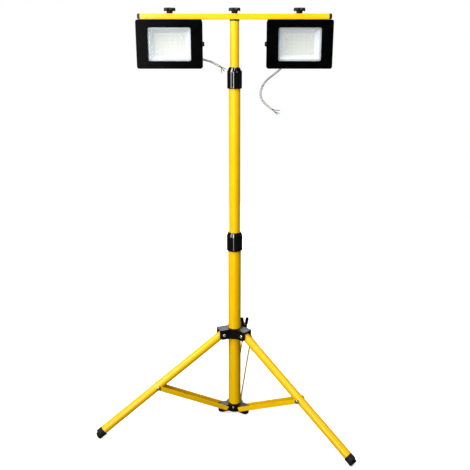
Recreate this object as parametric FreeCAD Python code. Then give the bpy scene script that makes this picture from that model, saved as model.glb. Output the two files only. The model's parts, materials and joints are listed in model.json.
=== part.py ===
import FreeCAD, Part
import math
import os

# Twin floodlight on a telescopic tripod mast.  Millimetres, +Z up, floor at z = 0.
# Everything is modelled about the mast axis and moved once, at the end, so that the
# origin lies on the floor under the middle of the whole object.

V = FreeCAD.Vector
X_AXIS = V(1, 0, 0)
Y_AXIS = V(0, 1, 0)
Z_AXIS = V(0, 0, 1)

# ---------------------------------------------------------------- driving dimensions
MOVING_GAP = 0.35          # between parts that move past each other
PIN_GAP = 0.05             # radial clearance of a pin or stud in its hole
SEAT_GAP = 0.03            # radial clearance of parts that are pressed together

LOWER_TUBE_R = 19.0
LOWER_TUBE_WALL = 1.5
LOWER_TUBE_Z = (13.0, 575.0)
MIDDLE_TUBE_R = 16.0
MIDDLE_TUBE_WALL = 1.5
MIDDLE_TUBE_Z = (482.0, 1048.0)
TOP_TUBE_R = 12.5
TOP_TUBE_WALL = 1.2
TOP_TUBE_Z = (660.0, 1198.5)
BUSH_LENGTH = 30.0

LOWER_LOCK_Z = (549.2, 606.3)
LOWER_LOCK_R = 23.2
UPPER_LOCK_Z = (1021.0, 1078.5)
UPPER_LOCK_R = 20.5
LOCK_CONE_H = 12.0

LEG_AZIMUTHS = {"left": 200.0, "right": -40.0, "back": 80.0}
LEG_R = 12.5
LEG_WALL = 1.2
LEG_LENGTH = 458.0         # from the pivot to the end of the tube
LEG_HEAD = 6.0             # tube beyond the pivot
LEG_SLOPE = 34.0           # below the horizontal
LEG_PIVOT = (39.5, 280.5)  # radius and height of the pivot
STRUT_JOINT = 253.5        # from the leg pivot along the leg
STRUT_PIVOT = (34.0, 23.4)
STRUT_BAR = (14.5, 2.5)    # width and thickness of each flat bar
STRUT_TAIL = 7.5           # bar beyond the bottom hub's pin
STRUT_GAP = 0.5            # between each bar and the leg
PIN_R = 3.0
LEG_PIN_HEAD = (5.2, 2.0)  # radius and height
STRUT_PIN_HEAD = (4.0, 1.0)
JOINT_RIVET_HEAD = (5.2, 2.2)

HUB_Z = (266.5, 298.0)
HUB_R = 25.0
HUB_PLATE = 3.3            # top plate over each leg
HUB_CHEEK = 2.9
HUB_LUG_END = 53.0
WING_AZIMUTH = 36.0
WING_PIVOT_R = 38.5

FOOT_HUB_Z = (9.0, 33.8)
FOOT_HUB_R = 25.0
FOOT_LUG_HALF = 12.4
FOOT_LUG_END = 55.0

BAR_SIDE = 15.0
BAR_WALL = 1.2
BAR_Z = 1202.5             # underside of the crossbar
BAR_HALF = 253.0
BAR_PLUG = 8.0
LAMP_X = 173.4             # lamps and side knobs from the mast
STUD_R = 4.0
SIDE_STUD_TIP = 9.5        # below the crossbar, flush with the bracket's weld nut
MIDDLE_STUD_TIP = 26.0
KNOB_H = 14.5
KNOB_R = 15.6
KNOB_LOBES = 6

LAMP_Z = 1138.8            # tilt axis, at mid height of the lamp
FRAME_HALF = (88.2, 62.9)
FRAME_Y = (-40.0, -24.0)
FRAME_SKIN = 3.0
WINDOW_HALF = (57.0, 43.0)
TRAY_HALF = (81.0, 56.0)
TRAY_FLOOR_Y = (-12.4, -9.4)
FIN_BACK_Y = 10.0
FIN_COUNT = 14
DRIVER_BOX_X = (-42.0, 42.0)
DRIVER_BOX_Z = (-46.0, 14.0)
DRIVER_BOX_Y = 14.0
GLASS_T = 4.0
REFLECTOR_RIM = 4.5        # shows round the window, in front of the slopes
REFLECTOR_SHEET = 0.8
LED_BOARD_HALF = (49.0, 36.0)
LED_BOARD_MARGIN = 7.5     # of the board, behind the reflector's foot
ARM_X = (83.0, 86.0)
ARM_HALF = 13.0
STRAP_T = 3.0
TILT_BOLT_R = 4.0
BOLT_TIP_X = 91.7

CORD_R = 3.0
CORE_R = 1.1
GLAND_XZ = (-18.0, -28.0)  # on the driver cover, from the tilt axis
GLAND_LENGTH = 21.0


# ---------------------------------------------------------------- shape helpers
def box(x, y, z):
    """A block between three pairs of limits."""
    return Part.makeBox(x[1] - x[0], y[1] - y[0], z[1] - z[0], V(x[0], y[0], z[0]))


def rod(radius, start, direction, length):
    return Part.makeCylinder(radius, length, start, direction)


def ring(outer, inner, z):
    """An upright tube about the mast axis."""
    height = z[1] - z[0]
    return rod(outer, V(0, 0, z[0]), Z_AXIS, height).cut(rod(inner, V(0, 0, z[0]), Z_AXIS, height))


def turned(points):
    """A solid turned about Z from a closed outline of (radius, height) points."""
    outline = [V(r, 0, z) for r, z in points]
    face = Part.Face(Part.makePolygon(outline + outline[:1]))
    return face.revolve(V(0, 0, 0), Z_AXIS, 360)


def slab(half_x, half_z, y, corner):
    """A plate facing the Y axis, with rounded corners."""
    plate = box((-half_x, half_x), y, (-half_z, half_z))
    upright = [e for e in plate.Edges if abs(e.tangentAt(e.FirstParameter).y) > 0.99]
    return plate.makeFillet(corner, upright)


def tapered_plate(centre_a, radius_a, centre_b, radius_b, start, direction, thickness):
    """The outline that hugs two circles, lying square to `direction`.

    The circles' centres are given as vectors in the plate's plane.
    """
    along = centre_b - centre_a
    span = along.Length
    along.normalize()
    side = direction.cross(along)
    lean = math.asin((radius_a - radius_b) / span)
    points = []
    for centre, radius in ((centre_a, radius_a), (centre_b, radius_b)):
        for turn in (1, -1):
            touch = along * math.sin(lean) + side * (turn * math.cos(lean))
            points.append(centre + touch * radius)
    a_left, a_right, b_left, b_right = points
    wire = Part.Wire([
        Part.LineSegment(a_left, b_left).toShape(),
        Part.Arc(b_left, centre_b + along * radius_b, b_right).toShape(),
        Part.LineSegment(b_right, a_right).toShape(),
        Part.Arc(a_right, centre_a - along * radius_a, a_left).toShape(),
    ])
    plate = Part.Face(wire).extrude(direction * thickness)
    plate.translate(start)
    return plate


def about_mast(shape, azimuth):
    turned_shape = shape.copy()
    turned_shape.rotate(V(0, 0, 0), Z_AXIS, azimuth)
    return turned_shape


def both_sides(shape):
    """The shape and its mirror image across the leg's plane."""
    return [shape, shape.mirror(V(0, 0, 0), Y_AXIS)]


def in_leg_plane(slope, radius_height):
    """A placement that lays +X down a leg or up a strut, from its pivot."""
    return FreeCAD.Placement(V(radius_height[0], 0, radius_height[1]),
                             FreeCAD.Rotation(Y_AXIS, slope))


def placed(shape, placement):
    moved = shape.copy()
    moved.Placement = placement.multiply(moved.Placement)
    return moved


def group(solids):
    return Part.makeCompound(solids)


def fused(first, *others):
    return first.multiFuse(list(others)).removeSplitter()


# ---------------------------------------------------------------- linkage
SLOPE = math.radians(LEG_SLOPE)
JOINT_R = LEG_PIVOT[0] + STRUT_JOINT * math.cos(SLOPE)
JOINT_Z = LEG_PIVOT[1] - STRUT_JOINT * math.sin(SLOPE)
STRUT_RUN = JOINT_R - STRUT_PIVOT[0]
STRUT_RISE = JOINT_Z - STRUT_PIVOT[1]
STRUT_LENGTH = math.hypot(STRUT_RUN, STRUT_RISE)
STRUT_SLOPE = math.degrees(math.atan2(STRUT_RISE, STRUT_RUN))
# Folded, the legs hang straight down from the raised hub.
FOLDED_STRUT = math.degrees(math.acos((LEG_PIVOT[0] - STRUT_PIVOT[0]) / STRUT_LENGTH))
FOLDED_PIVOT_Z = (STRUT_PIVOT[1] + STRUT_LENGTH * math.sin(math.radians(FOLDED_STRUT))
                  + STRUT_JOINT)
HUB_TRAVEL = FOLDED_PIVOT_Z - LEG_PIVOT[1]


# ---------------------------------------------------------------- mast
def guide_bush(tube_r, bore_r, bottom):
    """The plastic ring at a tube's foot that keeps it central in the next tube."""
    return ring(bore_r - 0.3, tube_r + SEAT_GAP, (bottom, bottom + BUSH_LENGTH))


def lock_collet(outer_tube_r, inner_tube_r, tube_top, lock_z):
    """Slit sleeve on the outer tube's rim that the lock nut squeezes."""
    skirt_r = outer_tube_r + 1.6
    top = lock_z[1] - 4.3
    collet = turned([
        (outer_tube_r + SEAT_GAP, lock_z[0] + 2.8), (skirt_r, lock_z[0] + 2.8),
        (skirt_r, top - 8.0), (inner_tube_r + 2.4, top),
        (inner_tube_r + MOVING_GAP, top), (inner_tube_r + MOVING_GAP, tube_top),
        (outer_tube_r + SEAT_GAP, tube_top)])
    slit = box((0, skirt_r + 1), (-0.8, 0.8), (tube_top + 4.0, top + 1))
    for quarter in range(4):
        collet = collet.cut(about_mast(slit, 45 + 90 * quarter))
    return collet


def lock_nut(outer_r, outer_tube_r, inner_tube_r, lock_z):
    """Twist-lock sleeve with a coned top."""
    bottom, top = lock_z
    bore = outer_tube_r + 1.6 + MOVING_GAP
    mouth = inner_tube_r + 0.6
    return turned([
        (bore, bottom), (outer_r - 0.8, bottom), (outer_r, bottom + 0.8),
        (outer_r, top - LOCK_CONE_H), (mouth + 1.6, top),
        (mouth, top), (mouth, top - 3.7), (mouth + 1.8, top - 3.7), (bore, top - 11.5)])


def top_plug():
    """Plug in the top of the mast, with the threaded bore for the middle knob."""
    flange_top = BAR_Z - MOVING_GAP
    seat = TOP_TUBE_Z[1]
    return turned([
        (STUD_R + PIN_GAP, seat - 28.0), (TOP_TUBE_R - TOP_TUBE_WALL - SEAT_GAP, seat - 28.0),
        (TOP_TUBE_R - TOP_TUBE_WALL - SEAT_GAP, seat), (TOP_TUBE_R + 0.6, seat),
        (TOP_TUBE_R + 0.6, flange_top), (STUD_R + PIN_GAP, flange_top)])


def mast():
    lower_bore = LOWER_TUBE_R - LOWER_TUBE_WALL
    middle_bore = MIDDLE_TUBE_R - MIDDLE_TUBE_WALL
    return {
        "lower_tube": ring(LOWER_TUBE_R, lower_bore, LOWER_TUBE_Z),
        "middle_tube": ring(MIDDLE_TUBE_R, middle_bore, MIDDLE_TUBE_Z),
        "middle_tube_bush": guide_bush(MIDDLE_TUBE_R, lower_bore, MIDDLE_TUBE_Z[0]),
        "top_tube": ring(TOP_TUBE_R, TOP_TUBE_R - TOP_TUBE_WALL, TOP_TUBE_Z),
        "top_tube_bush": guide_bush(TOP_TUBE_R, middle_bore, TOP_TUBE_Z[0]),
        "lower_lock_collet": lock_collet(LOWER_TUBE_R, MIDDLE_TUBE_R, LOWER_TUBE_Z[1], LOWER_LOCK_Z),
        "lower_lock_nut": lock_nut(LOWER_LOCK_R, LOWER_TUBE_R, MIDDLE_TUBE_R, LOWER_LOCK_Z),
        "upper_lock_collet": lock_collet(MIDDLE_TUBE_R, TOP_TUBE_R, MIDDLE_TUBE_Z[1], UPPER_LOCK_Z),
        "upper_lock_nut": lock_nut(UPPER_LOCK_R, MIDDLE_TUBE_R, TOP_TUBE_R, UPPER_LOCK_Z),
        "mast_top_plug": top_plug(),
    }


# ---------------------------------------------------------------- tripod
def fork_lug():
    """One leg's fork on the sliding hub, along +X: two cheeks under a top plate."""
    inner = LEG_R + 0.6
    outer = inner + HUB_CHEEK
    block = box((HUB_R - 7.0, HUB_LUG_END), (-outer, outer), HUB_Z)
    slot_top = HUB_Z[1] - HUB_PLATE
    slot = box((HUB_R + 0.2, HUB_LUG_END + 1), (-inner, inner), (HUB_Z[0] - 1, slot_top))
    # The cheeks' lower outer corners are cut away at a slant.
    toe = Part.Face(Part.makePolygon([
        V(HUB_LUG_END - 8.0, -outer - 1, HUB_Z[0] - 1), V(HUB_LUG_END + 1, -outer - 1, HUB_Z[0] - 1),
        V(HUB_LUG_END + 1, -outer - 1, HUB_Z[0] + 9.0),
        V(HUB_LUG_END - 8.0, -outer - 1, HUB_Z[0] - 1)])).extrude(V(0, 2 * outer + 2, 0))
    hole = rod(PIN_R + SEAT_GAP, V(LEG_PIVOT[0], -outer - 1, LEG_PIVOT[1]), Y_AXIS, 2 * outer + 2)
    return block.cut(slot).cut(toe).cut(hole)


def sliding_hub():
    body = rod(HUB_R, V(0, 0, HUB_Z[0]), Z_AXIS, HUB_Z[1] - HUB_Z[0])
    lugs = [about_mast(fork_lug(), azimuth) for azimuth in LEG_AZIMUTHS.values()]
    boss_top = HUB_Z[1] - 11.0
    boss = fused(rod(7.5, V(WING_PIVOT_R, 0, HUB_Z[0] + 3), Z_AXIS, boss_top - HUB_Z[0] - 3),
                 box((HUB_R - 7, WING_PIVOT_R), (-5.0, 5.0), (HUB_Z[0] + 3, boss_top)))
    solid = fused(body, about_mast(boss, WING_AZIMUTH), *lugs)
    bore = rod(LOWER_TUBE_R + MOVING_GAP, V(0, 0, HUB_Z[0] - 1), Z_AXIS, HUB_Z[1] - HUB_Z[0] + 2)
    screw_hole = rod(PIN_R + PIN_GAP, V(WING_PIVOT_R, 0, HUB_Z[0]), Z_AXIS, boss_top - HUB_Z[0] + 1)
    return solid.cut(bore).cut(about_mast(screw_hole, WING_AZIMUTH))


def wing_knob():
    """Clamp screw's head: a small hub with two wings standing up."""
    base = HUB_Z[1] - 10.4
    top = HUB_Z[1] - 1.0
    hub = rod(8.0, V(0, 0, base), Z_AXIS, top - base)
    wings = []
    for side in (1, -1):
        wings.append(tapered_plate(V(side * 5.2, 0, 0), 4.5, V(side * 8.0, 0, 16.2), 4.8,
                                   V(0, -2.2, top - 0.2), Y_AXIS, 4.4))
    sole = box((-20, 20), (-10, 10), (base - 20, base))
    bore = rod(PIN_R + SEAT_GAP, V(0, 0, base - 1), Z_AXIS, 8.0)
    return fused(hub, *wings).cut(sole).cut(bore)


def wing_screw():
    return rod(PIN_R, V(0, 0, HUB_Z[0] - 3), Z_AXIS, 27.5)


def at_wing(shape):
    """Onto the clamp boss, with the wings spread along X."""
    angle = math.radians(WING_AZIMUTH)
    moved = shape.copy()
    moved.translate(V(WING_PIVOT_R * math.cos(angle), WING_PIVOT_R * math.sin(angle), 0))
    return moved


def pin(half_length, head, radius_height):
    """A headed pin across a leg's plane."""
    head_r, head_t = head
    shank = rod(PIN_R, V(0, -half_length, 0), Y_AXIS, 2 * half_length)
    heads = both_sides(rod(head_r, V(0, half_length, 0), Y_AXIS, head_t))
    whole = fused(shank, *heads)
    whole.translate(V(radius_height[0], 0, radius_height[1]))
    return whole


def leg_tube():
    outer = rod(LEG_R, V(-LEG_HEAD, 0, 0), X_AXIS, LEG_LENGTH + LEG_HEAD)
    inner = rod(LEG_R - LEG_WALL, V(-LEG_HEAD, 0, 0), X_AXIS, LEG_LENGTH + LEG_HEAD)
    hole = rod(PIN_R + PIN_GAP, V(0, -LEG_R - 1, 0), Y_AXIS, 2 * LEG_R + 2)
    return placed(outer.cut(inner).cut(hole), in_leg_plane(LEG_SLOPE, LEG_PIVOT))


def foot_cap():
    """Rubber boot on the leg's end, with a longer toe below, cut flat by the floor."""
    side_r = LEG_R + 0.1
    heel = rod(side_r, V(LEG_LENGTH, 0, 0), X_AXIS, 19.0)
    heel = heel.makeFillet(2.5, [e for e in heel.Edges if e.BoundBox.XMin > LEG_LENGTH + 18])
    toe = rod(side_r, V(LEG_LENGTH + 2.0, 0, -2.6), X_AXIS, 25.0)
    toe = toe.makeFillet(4.0, [e for e in toe.Edges if e.BoundBox.XMin > LEG_LENGTH + 26])
    toe = toe.cut(box((LEG_LENGTH, LEG_LENGTH + 30), (-20, 20), (2.0, 20)))
    plug = rod(LEG_R - LEG_WALL - SEAT_GAP, V(LEG_LENGTH - 18, 0, 0), X_AXIS, 20.0)
    boot = placed(fused(heel, toe, plug), in_leg_plane(LEG_SLOPE, LEG_PIVOT))
    return boot.cut(box((0, 600), (-50, 50), (-30, 0)))


def strut():
    """Two flat bars that straddle the leg, and the rivet heads at the leg joint.

    A bar is square with eased corners at the bottom hub and round at the leg.
    The rivets stop short of the leg, so that the linkage stays open there.
    """
    width, thickness = STRUT_BAR
    inner = LEG_R + STRUT_GAP
    outer = inner + thickness
    bar = box((-STRUT_TAIL, STRUT_LENGTH), (inner, outer), (-width / 2, width / 2))
    bar = bar.makeFillet(3.0, [e for e in bar.Edges if e.Length < 3 and e.BoundBox.XMax < 0])
    bar = fused(bar, rod(width / 2, V(STRUT_LENGTH, inner, 0), Y_AXIS, thickness))
    bar = bar.makeFillet(0.8, [e for e in bar.Edges if e.BoundBox.YMin > outer - 0.01])
    for x, radius in ((0, PIN_R + PIN_GAP), (STRUT_LENGTH, PIN_R + SEAT_GAP)):
        bar = bar.cut(rod(radius, V(x, inner - 1, 0), Y_AXIS, thickness + 2))
    head_r, head_t = JOINT_RIVET_HEAD
    rivet = fused(rod(PIN_R, V(STRUT_LENGTH, inner - 0.2, 0), Y_AXIS, thickness + 0.3),
                  rod(head_r, V(STRUT_LENGTH, outer, 0), Y_AXIS, head_t))
    solids = both_sides(bar) + both_sides(rivet)
    return placed(group(solids), in_leg_plane(-STRUT_SLOPE, STRUT_PIVOT))


def foot_lug():
    """One strut's lug on the bottom hub, along +X."""
    low, high = FOOT_HUB_Z[0] + 1.0, FOOT_HUB_Z[1] - 0.8
    round_x = FOOT_LUG_END - FOOT_LUG_HALF
    lug = fused(box((FOOT_HUB_R - 8, round_x), (-FOOT_LUG_HALF, FOOT_LUG_HALF), (low, high)),
                rod(FOOT_LUG_HALF, V(round_x, 0, low), Z_AXIS, high - low))
    hole = rod(PIN_R + SEAT_GAP, V(STRUT_PIVOT[0], -20, STRUT_PIVOT[1]), Y_AXIS, 40)
    return lug.cut(hole)


def bottom_hub():
    body = rod(FOOT_HUB_R, V(0, 0, FOOT_HUB_Z[0]), Z_AXIS, FOOT_HUB_Z[1] - FOOT_HUB_Z[0])
    lugs = [about_mast(foot_lug(), azimuth) for azimuth in LEG_AZIMUTHS.values()]
    socket = rod(LOWER_TUBE_R + SEAT_GAP, V(0, 0, LOWER_TUBE_Z[0]), Z_AXIS, 40)
    solid = fused(body, *lugs).cut(socket)
    for azimuth in LEG_AZIMUTHS.values():
        hole = rod(1.75, V(LOWER_TUBE_R, 0, 26.2), X_AXIS, 10)
        solid = solid.cut(about_mast(hole, azimuth + 60))
    return solid


def hub_screw():
    """Self-tapping screw that holds the lower tube in the bottom hub."""
    return fused(rod(1.7, V(LOWER_TUBE_R + 0.3, 0, 26.2), X_AXIS, FOOT_HUB_R - LOWER_TUBE_R),
                 rod(3.2, V(FOOT_HUB_R, 0, 26.2), X_AXIS, 1.8))


def tripod():
    azimuths = LEG_AZIMUTHS.items()
    cheek_face = LEG_R + 0.6 + HUB_CHEEK
    bar_face = LEG_R + STRUT_GAP + STRUT_BAR[1] + MOVING_GAP
    parts = {
        "sliding_hub": sliding_hub(),
        "clamp_wing_knob": at_wing(wing_knob()),
        "clamp_screw": at_wing(wing_screw()),
        "leg_pivot_pins": group([about_mast(pin(cheek_face, LEG_PIN_HEAD, LEG_PIVOT), a)
                                 for _, a in azimuths]),
        "bottom_hub": bottom_hub(),
        "bottom_hub_screws": group([about_mast(hub_screw(), a + 60) for _, a in azimuths]),
        "strut_pivot_pins": group([about_mast(pin(bar_face, STRUT_PIN_HEAD, STRUT_PIVOT), a)
                                   for _, a in azimuths]),
    }
    for side, azimuth in azimuths:
        parts["leg_tube_" + side] = about_mast(leg_tube(), azimuth)
        parts["foot_cap_" + side] = about_mast(foot_cap(), azimuth)
        parts["strut_" + side] = about_mast(strut(), azimuth)
    return parts


# ---------------------------------------------------------------- crossbar and knobs
def crossbar():
    half = BAR_SIDE / 2
    inner = half - BAR_WALL
    middle_z = BAR_Z + half
    outer_tube = box((-BAR_HALF, BAR_HALF), (-half, half), (BAR_Z, BAR_Z + BAR_SIDE))
    long_edges = [e for e in outer_tube.Edges if e.Length > BAR_HALF]
    tube = outer_tube.makeFillet(1.6, long_edges)
    tube = tube.cut(box((-BAR_HALF, BAR_HALF), (-inner, inner), (middle_z - inner, middle_z + inner)))
    for x in (-LAMP_X, 0, LAMP_X):
        tube = tube.cut(rod(STUD_R + MOVING_GAP, V(x, 0, BAR_Z - 1), Z_AXIS, BAR_SIDE + 2))
    return tube


def end_plug(side):
    half = BAR_SIDE / 2
    inner = half - BAR_WALL - SEAT_GAP
    middle_z = BAR_Z + half
    cap = box((BAR_HALF, BAR_HALF + BAR_PLUG), (-half, half), (BAR_Z, BAR_Z + BAR_SIDE))
    cap = cap.makeFillet(3.0, [e for e in cap.Edges if e.BoundBox.XMin > BAR_HALF + 0.1])
    insert = box((BAR_HALF - 14, BAR_HALF), (-inner, inner), (middle_z - inner, middle_z + inner))
    plug = fused(cap, insert)
    return plug if side > 0 else plug.mirror(V(0, 0, 0), X_AXIS)


def knob_head():
    """Star knob: a narrow foot under a cap whose lobes hang down like fingers."""
    foot_z = BAR_Z + BAR_SIDE + MOVING_GAP
    top = foot_z + KNOB_H
    lobe_r = 4.3
    core = turned([(0, foot_z), (8.0, foot_z), (8.6, foot_z + 6.5), (KNOB_R - lobe_r, foot_z + 6.5),
                   (KNOB_R - lobe_r, top - 1.2), (KNOB_R - lobe_r - 2.5, top), (0, top)])
    lobe = rod(lobe_r, V(KNOB_R - lobe_r, 0, foot_z + 4.0), Z_AXIS, KNOB_H - 5.2)
    lobe = lobe.makeFillet(1.8, [e for e in lobe.Edges if e.BoundBox.ZMin > top - 2])
    lobes = [about_mast(lobe, 360.0 / KNOB_LOBES * n) for n in range(KNOB_LOBES)]
    bore = rod(STUD_R + SEAT_GAP, V(0, 0, foot_z - 1), Z_AXIS, 7.0)
    return fused(core, *lobes).cut(bore)


def stud(tip_z):
    head_z = BAR_Z + BAR_SIDE + MOVING_GAP + 5.8
    return rod(STUD_R, V(0, 0, tip_z), Z_AXIS, head_z - tip_z)


def bar_and_knobs():
    parts = {
        "crossbar": crossbar(),
        "crossbar_end_plugs": group([end_plug(1), end_plug(-1)]),
    }
    places = (("left", -LAMP_X, SIDE_STUD_TIP), ("middle", 0, MIDDLE_STUD_TIP),
              ("right", LAMP_X, SIDE_STUD_TIP))
    for name, x, depth in places:
        for node, shape in (("knob_", knob_head()), ("knob_stud_", stud(BAR_Z - depth))):
            shape.translate(V(x, 0, 0))
            parts[node + name] = shape
    return parts


# ---------------------------------------------------------------- one lamp, about its tilt axis
def bracket():
    """U of flat bar with a weld nut, hung from the crossbar."""
    top = BAR_Z - MOVING_GAP - LAMP_Z
    strap = box((-ARM_X[1], ARM_X[1]), (-ARM_HALF, ARM_HALF), (top - STRAP_T, top))
    corners = [e for e in strap.Edges
               if abs(e.tangentAt(e.FirstParameter).y) > 0.99 and e.BoundBox.ZMin > top - 0.1]
    strap = strap.makeFillet(2.9, corners)
    arms = []
    for side in (1, -1):
        start = ARM_X[0] if side > 0 else -ARM_X[1]
        arm = box((start, start + STRAP_T), (-ARM_HALF, ARM_HALF), (0, top - STRAP_T))
        eye = rod(ARM_HALF, V(start, 0, 0), X_AXIS, STRAP_T)
        arms += [arm, eye]
    nut = Part.Face(Part.makePolygon([
        V(7.5 * math.cos(math.radians(60 * n)), 7.5 * math.sin(math.radians(60 * n)), top - STRAP_T - 6.0)
        for n in range(7)])).extrude(V(0, 0, 6.0))
    solid = fused(strap, nut, *arms)
    stud_hole = rod(STUD_R + PIN_GAP, V(0, 0, top - 12), Z_AXIS, 14)
    pivot_hole = rod(TILT_BOLT_R + PIN_GAP, V(-ARM_X[1] - 1, 0, 0), X_AXIS, 2 * ARM_X[1] + 2)
    return solid.cut(stud_hole).cut(pivot_hole)


def housing():
    """Cast tray with a finned back, a box for the driver and two pivot bosses."""
    tray = slab(TRAY_HALF[0], TRAY_HALF[1], (FRAME_Y[1], TRAY_FLOOR_Y[1]), 8.0)
    tray = tray.cut(slab(TRAY_HALF[0] - 3, TRAY_HALF[1] - 3, (FRAME_Y[1] - 1, TRAY_FLOOR_Y[0]), 6.0))
    fins = []
    pitch = 2 * (TRAY_HALF[0] - 9) / (FIN_COUNT - 1)
    for n in range(FIN_COUNT):
        x = -TRAY_HALF[0] + 9 + n * pitch
        fins.append(box((x - 1.1, x + 1.1), (TRAY_FLOOR_Y[1] - 0.2, FIN_BACK_Y), (-46.0, 46.0)))
    driver_box = box(DRIVER_BOX_X, (TRAY_FLOOR_Y[1] - 0.2, DRIVER_BOX_Y), DRIVER_BOX_Z)
    bosses = [box((s * 79.3 - 3.3, s * 79.3 + 3.3), (TRAY_FLOOR_Y[1] - 0.2, FIN_BACK_Y), (-11.0, 11.0))
              for s in (1, -1)]
    solid = fused(tray, driver_box, *(fins + bosses))
    cavity = box((DRIVER_BOX_X[0] + 2.5, DRIVER_BOX_X[1] - 2.5), (TRAY_FLOOR_Y[1], DRIVER_BOX_Y + 1),
                 (DRIVER_BOX_Z[0] + 2.5, DRIVER_BOX_Z[1] - 2.5))
    pivot = rod(TILT_BOLT_R + SEAT_GAP, V(-TRAY_HALF[0] - 5, 0, 0), X_AXIS, 14)
    return solid.cut(cavity).cut(pivot).cut(pivot.mirror(V(0, 0, 0), X_AXIS))


def front_frame():
    outer = slab(FRAME_HALF[0], FRAME_HALF[1], FRAME_Y, 6.0)
    front = [e for e in outer.Edges if e.BoundBox.YMax < FRAME_Y[0] + 0.1]
    outer = outer.makeFillet(1.5, front)
    hollow = slab(FRAME_HALF[0] - FRAME_SKIN, FRAME_HALF[1] - FRAME_SKIN,
                  (FRAME_Y[0] + 4.0, FRAME_Y[1] - FRAME_SKIN), 4.0)
    back_hole = slab(TRAY_HALF[0] - 3, TRAY_HALF[1] - 3, (FRAME_Y[0] + 4.0, FRAME_Y[1] + 1), 6.0)
    window = slab(WINDOW_HALF[0], WINDOW_HALF[1], (FRAME_Y[0] - 1, FRAME_Y[1]), 5.0)
    return outer.cut(hollow).cut(back_hole).cut(window)


def gasket():
    y = (FRAME_Y[0] + 4.0, FRAME_Y[0] + 5.0)
    return slab(WINDOW_HALF[0] + 7, WINDOW_HALF[1] + 7, y, 6.0).cut(
        slab(WINDOW_HALF[0] + 1, WINDOW_HALF[1] + 1, y, 5.0))


def glass():
    front = FRAME_Y[0] + 5.0
    return slab(WINDOW_HALF[0] + 7, WINDOW_HALF[1] + 7, (front, front + GLASS_T), 6.0)


def reflector():
    """Sheet funnel from the glass down to the light-emitting board."""
    front = FRAME_Y[0] + 5.0 + GLASS_T
    back = TRAY_FLOOR_Y[0] - 1.7
    mouth = (WINDOW_HALF[0] - REFLECTOR_RIM, WINDOW_HALF[1] - REFLECTOR_RIM)
    throat = (LED_BOARD_HALF[0] - LED_BOARD_MARGIN, LED_BOARD_HALF[1] - LED_BOARD_MARGIN)

    def funnel(grow, y_front, y_back):
        wires = []
        for (half_x, half_z), y in ((mouth, y_front), (throat, y_back)):
            a, b = half_x + grow, half_z + grow
            corners = [V(-a, y, -b), V(a, y, -b), V(a, y, b), V(-a, y, b), V(-a, y, -b)]
            wires.append(Part.makePolygon(corners))
        return Part.makeLoft(wires, True, True)

    rim = slab(WINDOW_HALF[0] + 4, WINDOW_HALF[1] + 4, (front, front + 1.0), 5.0)
    shell = fused(rim, funnel(REFLECTOR_SHEET, front, back))
    return shell.cut(funnel(0.0, front - 0.001, back + 0.001))


def led_board():
    back = TRAY_FLOOR_Y[0]
    return slab(LED_BOARD_HALF[0], LED_BOARD_HALF[1], (back - 1.6, back), 2.0)


def driver():
    return box((DRIVER_BOX_X[0] + 5, DRIVER_BOX_X[1] - 5), (TRAY_FLOOR_Y[1], DRIVER_BOX_Y - 4),
               (DRIVER_BOX_Z[0] + 5, DRIVER_BOX_Z[1] - 5))


def driver_cover():
    middle_z = (DRIVER_BOX_Z[0] + DRIVER_BOX_Z[1]) / 2
    half_x = DRIVER_BOX_X[1] + 1.5
    half_z = (DRIVER_BOX_Z[1] - DRIVER_BOX_Z[0]) / 2 + 1.5
    plate = slab(half_x, half_z, (DRIVER_BOX_Y, DRIVER_BOX_Y + 3.0), 4.0)
    plate.translate(V(0, 0, middle_z))
    hole = rod(CORD_R + 3.0, V(GLAND_XZ[0], DRIVER_BOX_Y - 1, GLAND_XZ[1]), Y_AXIS, 5)
    return plate.cut(hole)


def gland():
    """Cable gland on the driver cover, with a domed nut, bored for the cord."""
    face = DRIVER_BOX_Y + 3.0
    outline = turned([
        (CORD_R + SEAT_GAP, face - 6.0), (5.9, face - 6.0), (5.9, face), (9.0, face), (9.0, face + 4.0),
        (8.2, face + 4.0), (8.2, face + 13.0), (6.6, face + GLAND_LENGTH - 2.5),
        (4.2, face + GLAND_LENGTH), (CORD_R + SEAT_GAP, face + GLAND_LENGTH)])
    outline.rotate(V(0, 0, 0), X_AXIS, -90)
    outline.translate(V(GLAND_XZ[0], 0, GLAND_XZ[1]))
    return outline


def tilt_bolts():
    """The two bolts that the lamp hangs on, each with its washer."""
    inner_end = 77.0
    head_x = BOLT_TIP_X - 4.1
    washer_x = ARM_X[1] + MOVING_GAP
    shank = rod(TILT_BOLT_R, V(inner_end, 0, 0), X_AXIS, head_x - inner_end)
    washer = rod(8.0, V(washer_x, 0, 0), X_AXIS, head_x - washer_x)
    head = rod(6.6, V(head_x, 0, 0), X_AXIS, BOLT_TIP_X - head_x)
    bolt = fused(shank, washer, head)
    return group([bolt, bolt.mirror(V(0, 0, 0), X_AXIS)])


# ---------------------------------------------------------------- cords
# Each route is measured from its lamp's tilt axis and starts in the gland's mouth.
GLAND_MOUTH = (GLAND_XZ[0], DRIVER_BOX_Y + 3.0 + GLAND_LENGTH, GLAND_XZ[1])
CORD_ROUTES = {
    "left": [GLAND_MOUTH, (-17, 66, -28), (2, 86, -30), (34, 88, -34), (64, 76, -39),
             (90, 60, -44), (114, 43, -50), (132, 30, -60.5)],
    "right": [GLAND_MOUTH, (-18, 64, -29), (-22, 84, -44), (-36, 92, -66), (-58, 84, -84),
              (-80, 71, -98), (-96, 60, -118), (-101, 54, -143), (-89, 49, -165), (-67, 46, -180)],
}
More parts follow.
